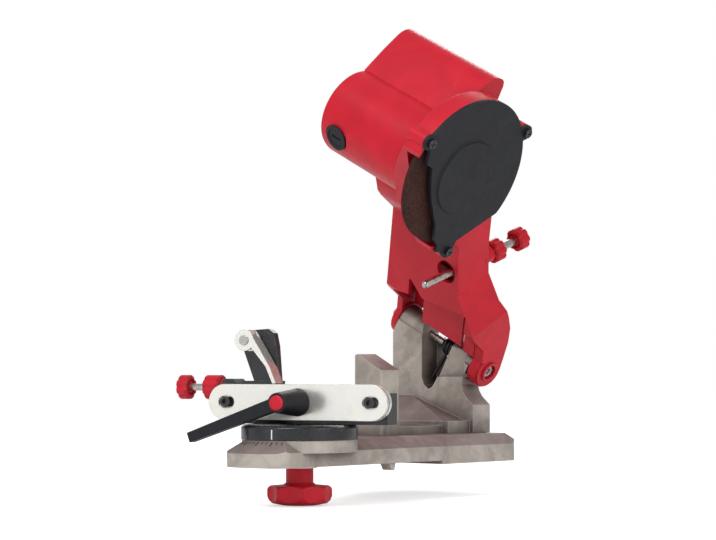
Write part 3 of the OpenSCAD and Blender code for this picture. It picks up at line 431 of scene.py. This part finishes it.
def soften(node, width):
    """Stands for a CAD node with the same shape and edges rounded by the width in mm."""
    name = node + "_soft"
    mesh = rounded(NODES[node].data, width * MM, name)
    obj = link(name, mesh, SLOT_OF[node], BODY_OF[node], node)
    smooth = obj.modifiers.new("normals", "WEIGHTED_NORMAL")
    smooth.keep_sharp = True
    smooth.weight = 50
    baked(obj)


SOFT_EDGES = {
    "base_casting": 1.5, "column_casting": 1.6,
    "arm_housing": 0.9, "motor_housing": 1.0, "wheel_housing": 0.8,
    "guard_cover": 0.6, "guard_screws": 0.25, "brush_caps": 0.5,
    "turntable": 0.8, "vise_body": 0.7, "front_plate": 0.3, "rear_plate": 0.3, "guide_screws": 0.3,
    "turntable_knob": 0.8, "clamp_lever": 0.7, "lever_cap": 0.6,
    "stop_knob": 0.45, "stop_lock_knob": 0.45, "depth_knob": 0.45, "depth_lock_knob": 0.45,
    "stop_screw": 0.4, "stop_carriage": 0.6, "pawl": 0.4, "pawl_pin": 0.3,
    "depth_screw": 0.5, "depth_bush": 0.2, "pivot_pin": 0.5, "pivot_nut": 0.3,
    "switch_body": 0.5, "switch_rocker": 0.5, "cord_gland": 0.6,
}
for node, width in SOFT_EDGES.items():
    soften(node, width)

# ---------------------------------------------------------------- torsion spring
WIRE_SIDES = 20
WIRE_RADIUS = 1.25
COIL_RADIUS = 5.6
COIL_PITCH = 3.0
COIL_START = -33.6  # along the pivot pin, where the head's leg leaves
WHOLE_TURNS = 3
STEPS_PER_TURN = 32
FIRST_ANGLE, LAST_ANGLE = 24.8, -15.0  # where the coil leaves for the head and for the base
HEAD_LEG = (40, 32, 24, 16, 8, 3)  # points of each straight leg, by distance from the coil
BASE_LEG = (3, 7, 14, 21, 28)


def tube(points, radius):
    """A round wire through the points, with flat ends."""
    pts = [Vector(p) for p in points]
    bm = bmesh.new()
    rings = []
    for i, p in enumerate(pts):
        tangent = (pts[min(i + 1, len(pts) - 1)] - pts[max(i - 1, 0)]).normalized()
        a = tangent.cross(SHAFT)
        if a.length <= 0.2:
            a = tangent.cross(Vector((1, 0, 0)))
        a = a.normalized()
        b = tangent.cross(a)
        ring = []
        for k in range(WIRE_SIDES):
            turn = k * math.tau / WIRE_SIDES
            ring.append(bm.verts.new(p + radius * (math.cos(turn) * a + math.sin(turn) * b)))
        rings.append(ring)
    for r0, r1 in zip(rings, rings[1:]):
        for k in range(WIRE_SIDES):
            following = (k + 1) % WIRE_SIDES
            bm.faces.new((r0[k], r0[following], r1[following], r1[k]))
    bm.faces.new(list(reversed(rings[0])))
    bm.faces.new(rings[-1])
    bmesh.ops.recalc_face_normals(bm, faces=bm.faces)
    mesh = bpy.data.meshes.new("wire")
    bm.to_mesh(mesh)
    bm.free()
    mesh.shade_smooth()
    mesh.set_sharp_from_angle(angle=math.radians(50))
    return mesh


def torsion_spring():
    """A coil round the pivot pin with one leg on the head and one on the base."""
    first, last, start, pitch = FIRST_ANGLE, LAST_ANGLE, COIL_START, COIL_PITCH
    turns = WHOLE_TURNS + (first - last) / 360
    steps = int(turns * STEPS_PER_TURN)

    def place(c, x, z):
        return at(HEAD, x, -c, z)

    coil = []
    for i in range(steps + 1):
        t = i / steps
        a = math.radians(first - turns * 360 * t)
        x, z = COIL_RADIUS * math.cos(a), COIL_RADIUS * math.sin(a)
        coil.append((x, z, start - pitch * turns * t))

    def leg(p, angle, d):
        a = math.radians(angle)
        return (p[0] + d * math.cos(a), p[1] + d * math.sin(a), p[2])

    path = [leg(coil[0], first + 90, d) for d in HEAD_LEG] + coil
    path += [leg(coil[-1], last - 90, d) for d in BASE_LEG]
    mesh = tube([place(p[2], p[0], p[1]) for p in path], WIRE_RADIUS * MM)
    obj = link("spring_wire_form", mesh, "spring_wire", None, "torsion_spring")
    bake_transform(obj)


torsion_spring()

# ---------------------------------------------------------------- degree marks
# the base's sloping rim: radius and height of its foot, and its rise for each mm inwards
RIM_RADIUS, RIM_HEIGHT, RIM_SLOPE = 60, 8.1, 0.615
MARKS_EACH_SIDE = 5
MARK_STEP = 5  # degrees
MARK_INNER_RADIUS = 41.6
MARK_THICKNESS = 0.24  # half of it stands out of the rim
LONG_MARK = (4.2, 0.95)  # length and width; every third mark
SHORT_MARK = (2.6, 0.65)
TURNTABLE_RADIUS = 40
INDEX_HEIGHT = 24.4
INDEX_SIZE = (0.3, 1.0, 6.6)


def bars(specs):
    """One mesh of little bars, each from a place and a size in mm."""
    bm = bmesh.new()
    for place, size in specs:
        box = place @ Matrix.Diagonal((*[v * MM for v in size], 1))
        made = bmesh.ops.create_cube(bm, size=1.0, matrix=box)
        edges = {e for v in made["verts"] for e in v.link_edges}
        bmesh.ops.bevel(
            bm, geom=list(edges), offset=min(size) * MM * 0.3, segments=1, affect="EDGES")
    mesh = bpy.data.meshes.new("bars")
    bm.to_mesh(mesh)
    bm.free()
    return mesh


def degree_marks():
    """Dark lines on the sloping rim under the turntable."""
    specs = []
    for step in range(-MARKS_EACH_SIDE, MARKS_EACH_SIDE + 1):
        length, width = LONG_MARK if step % 3 == 0 else SHORT_MARK
        middle = MARK_INNER_RADIUS + length / 2
        height = RIM_HEIGHT + (RIM_RADIUS - middle) * RIM_SLOPE
        place = VISE_AXIS @ Matrix.Rotation(math.radians(180 + MARK_STEP * step), 4, "Z")
        place = place @ Matrix.Translation((middle * MM, 0, height * MM))
        place = place @ Matrix.Rotation(math.atan(RIM_SLOPE), 4, "Y")
        specs.append((place, (length, width, MARK_THICKNESS)))
    link("degree_marks", bars(specs), "black_plastic", "base")


def index_mark():
    """Bright line on the turntable's edge that reads the degree marks."""
    place = VISE @ Matrix.Translation((-TURNTABLE_RADIUS * MM, 0, INDEX_HEIGHT * MM))
    link("index_mark", bars([(place, INDEX_SIZE)]), "zinc_plate", "vise")


degree_marks()
index_mark()

# ---------------------------------------------------------------- light and floor
WHITE = (1, 1, 1, 1)
WORLD_LIGHT = 0.47  # what lights the part; the camera sees plain white
PANELS = {  # place and aim in metres, size in metres, power in watts
    "key": ((-1.3, -0.2, 1.3), (-0.03, 0, 0.12), 0.9, 11.5),
    "fill": ((-0.2, -1.7, 0.7), (-0.03, 0, 0.12), 1.0, 6.5),
    "rim": ((1.2, 0.9, 1.1), (0, 0, 0.15), 0.8, 7),
    # low panel that the bright chain plates mirror
    "plate_glow": ((-1.35, 0.32, 0.12), (-0.14, -0.02, 0.04), 0.7, 0.7),
}
FLOOR_SIZE = 4
FLOOR_GAP = 0.0002
FLOOR_GLOW = 0.56  # seen by the camera alone, so that the floor is as white as the photo's
FLOOR_COLORS = (0.93, 0.93, 0.93), (0.96, 0.96, 0.96)


def make_world():
    world = bpy.data.worlds.new("studio")
    bpy.context.scene.world = world
    world.use_nodes = True
    nodes, links = world.node_tree.nodes, world.node_tree.links
    nodes.clear()

    def background(strength):
        node = nodes.new("ShaderNodeBackground")
        node.inputs[0].default_value = WHITE
        node.inputs[1].default_value = strength
        return node

    soft, white = background(WORLD_LIGHT), background(1.0)
    path = nodes.new("ShaderNodeLightPath")
    mix = nodes.new("ShaderNodeMixShader")
    out = nodes.new("ShaderNodeOutputWorld")
    links.new(path.outputs["Is Camera Ray"], mix.inputs[0])
    links.new(soft.outputs[0], mix.inputs[1])
    links.new(white.outputs[0], mix.inputs[2])
    links.new(mix.outputs[0], out.inputs[0])


def make_panel(name, place, aim, size, power):
    data = bpy.data.lights.new(name, "AREA")
    data.shape = "DISK"
    data.size = size
    data.energy = power
    obj = bpy.data.objects.new(name, data)
    obj.location = place
    obj.rotation_mode = "QUATERNION"
    obj.rotation_quaternion = (Vector(aim) - Vector(place)).to_track_quat("-Z", "Y")
    bpy.context.scene.collection.objects.link(obj)


def make_floor():
    low = min(cad_box[0].z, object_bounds()[0].z)
    bm = bmesh.new()
    bmesh.ops.create_grid(bm, x_segments=8, y_segments=8, size=FLOOR_SIZE)
    mesh = bpy.data.meshes.new("floor")
    bm.to_mesh(mesh)
    bm.free()
    floor = bpy.data.objects.new("floor", mesh)
    floor.location.z = low - FLOOR_GAP
    bpy.context.scene.collection.objects.link(floor)
    t = Tree("pale_floor")
    speck = t.noise(40, 3, 0.5)
    camera_ray = t.add("ShaderNodeLightPath").outputs["Is Camera Ray"]
    glow = t.math("MULTIPLY", camera_ray, FLOOR_GLOW)
    mesh.materials.append(t.finish(
        t.mix(speck, *FLOOR_COLORS), 0.9, Emission_Color=WHITE, Emission_Strength=glow))


make_world()
for name, panel in PANELS.items():
    make_panel(name, *panel)
make_floor()
bpy.context.scene.view_settings.view_transform = "Standard"
